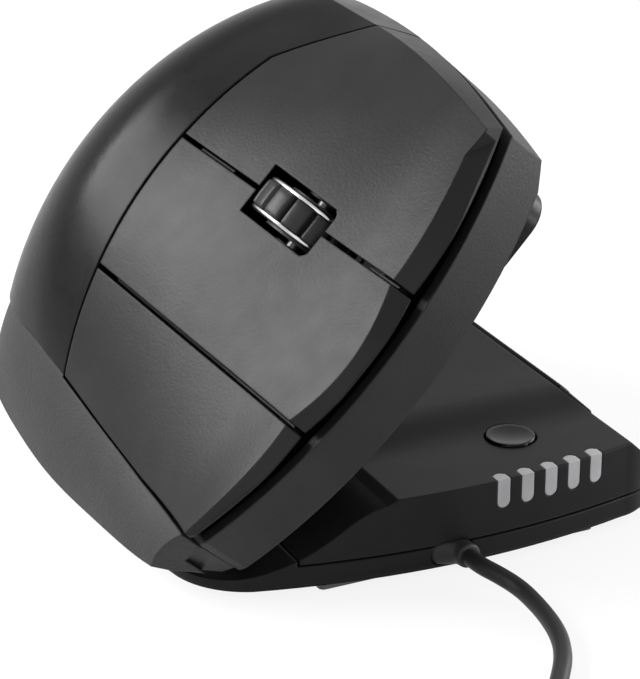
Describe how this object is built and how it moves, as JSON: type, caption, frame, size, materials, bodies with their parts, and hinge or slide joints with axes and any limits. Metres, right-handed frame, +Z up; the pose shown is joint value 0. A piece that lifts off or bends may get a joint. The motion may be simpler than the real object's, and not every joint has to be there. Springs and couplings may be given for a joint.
{
  "type": "vertical mouse",
  "caption": "Upright wired pointing device: a tilting head with finger buttons and a ribbed wheel on a low wedge base with lights, thumb rest and coiled cord.",
  "frame": {"origin": "on the desk, at the middle glide foot under the base", "axes": "+Z up from the desk, +X towards the thumb side, -Y towards the cord side at the fingertips"},
  "size_m": [0.0958, 0.272, 0.0828],
  "materials": {
    "shell_gloss": "satin",
    "button_satin": "satin",
    "frame_black": "gloss",
    "case_textured": "matte",
    "grip_textured": "matte",
    "base_black": "satin",
    "tyre_rubber": "matte",
    "rim_chrome": "polished",
    "soft_rubber": "matte",
    "steel": "satin",
    "board_green": "matte",
    "switch_black": "matte",
    "light_pipe": "satin",
    "lens_clear": "clear",
    "skate_white": "satin",
    "diode_white": "gloss",
    "nylon_black": "matte",
    "cord_black": "matte"
  },
  "bodies": {
    "base": {"base_bottom": "base_black", "base_top": "base_black", "hinge_bracket": "nylon_black", "speed_lights": "light_pipe", "base_board": "board_green", "speed_switch": "switch_black", "light_diodes": "diode_white", "motion_sensor": "switch_black", "sensor_lens": "lens_clear", "base_skates": "skate_white", "base_screws": "steel", "strain_relief": "soft_rubber", "cord_lead": "cord_black", "cord_coil": "cord_black", "cord_tail": "cord_black", "coil_tie": "nylon_black", "usb_grip": "soft_rubber", "usb_shell": "steel"},
    "head": {"palm_shell": "shell_gloss", "button_frame": "frame_black", "head_case": "case_textured", "side_grip": "grip_textured", "thumb_panel": "base_black", "head_board": "board_green", "button_switches": "switch_black", "wheel_switch": "switch_black", "wheel_encoder": "switch_black", "thumb_board": "board_green", "thumb_switches": "switch_black", "head_screws": "steel", "hinge_pin": "steel", "friction_sleeve": "nylon_black"},
    "index": {"index_button": "button_satin"},
    "middle": {"middle_button": "button_satin"},
    "ring": {"ring_button": "button_satin"},
    "carrier": {"wheel_carrier": "nylon_black"},
    "wheel": {"wheel_tyre": "tyre_rubber", "wheel_rims": "rim_chrome", "wheel_hub": "nylon_black", "wheel_axle": "steel"},
    "forward": {"forward_button": "button_satin"},
    "back": {"back_button": "button_satin"},
    "speed": {"speed_button": "shell_gloss"},
    "carriage": {"thumb_carriage": "nylon_black"},
    "rest": {"thumb_rest": "base_black", "thumb_pad": "soft_rubber", "thumb_rest_pin": "steel"}
  },
  "joints": [
    {"name": "head_tilt", "type": "hinge", "parent": "base", "child": "head", "pos_m": [-0.0305, -0.0145, 0.02009], "axis": [0, 1, 0], "range_deg": [0, 35]},
    {"name": "index_click", "type": "hinge", "parent": "head", "child": "index", "pos_m": [-0.01293, -0.002, 0.07412], "axis": [0.682, 0, 0.7314], "range_deg": [0, 0.9], "stiffness_Nm_per_rad": 1.2, "springref_deg": -0.34},
    {"name": "middle_click", "type": "hinge", "parent": "head", "child": "middle", "pos_m": [-0.03275, -0.002, 0.05433], "axis": [0.682, 0, 0.7314], "range_deg": [0, 0.9], "stiffness_Nm_per_rad": 1.2, "springref_deg": -0.34},
    {"name": "ring_click", "type": "hinge", "parent": "head", "child": "ring", "pos_m": [-0.04619, -0.002, 0.03404], "axis": [0.682, 0, 0.7314], "range_deg": [0, 0.9], "stiffness_Nm_per_rad": 1.2, "springref_deg": -0.34},
    {"name": "wheel_press", "type": "slide", "parent": "head", "child": "carrier", "axis": [0.7314, 0, -0.682], "range_m": [0, 0.0007], "stiffness_N_per_m": 900, "springref_m": -0.0003},
    {"name": "wheel_spin", "type": "hinge", "parent": "carrier", "child": "wheel", "pos_m": [-0.0143, -0.0254, 0.05476], "axis": [0.682, 0, 0.7314], "continuous": true},
    {"name": "forward_click", "type": "slide", "parent": "head", "child": "forward", "axis": [-0.7314, 0, 0.682], "range_m": [0, 0.0006], "stiffness_N_per_m": 1200, "springref_m": -0.0003},
    {"name": "back_click", "type": "slide", "parent": "head", "child": "back", "axis": [-0.7314, 0, 0.682], "range_m": [0, 0.0006], "stiffness_N_per_m": 1200, "springref_m": -0.0003},
    {"name": "speed_click", "type": "slide", "parent": "base", "child": "speed", "axis": [0, 0, -1], "range_m": [0, 0.0005], "stiffness_N_per_m": 1200, "springref_m": -0.0003},
    {"name": "thumb_slide", "type": "slide", "parent": "base", "child": "carriage", "axis": [1, 0, 0], "range_m": [0, 0.01]},
    {"name": "thumb_tilt", "type": "hinge", "parent": "carriage", "child": "rest", "pos_m": [0.04164, 0.003, 0.0083], "axis": [0, 1, 0], "range_deg": [0, 70]}
  ]
}
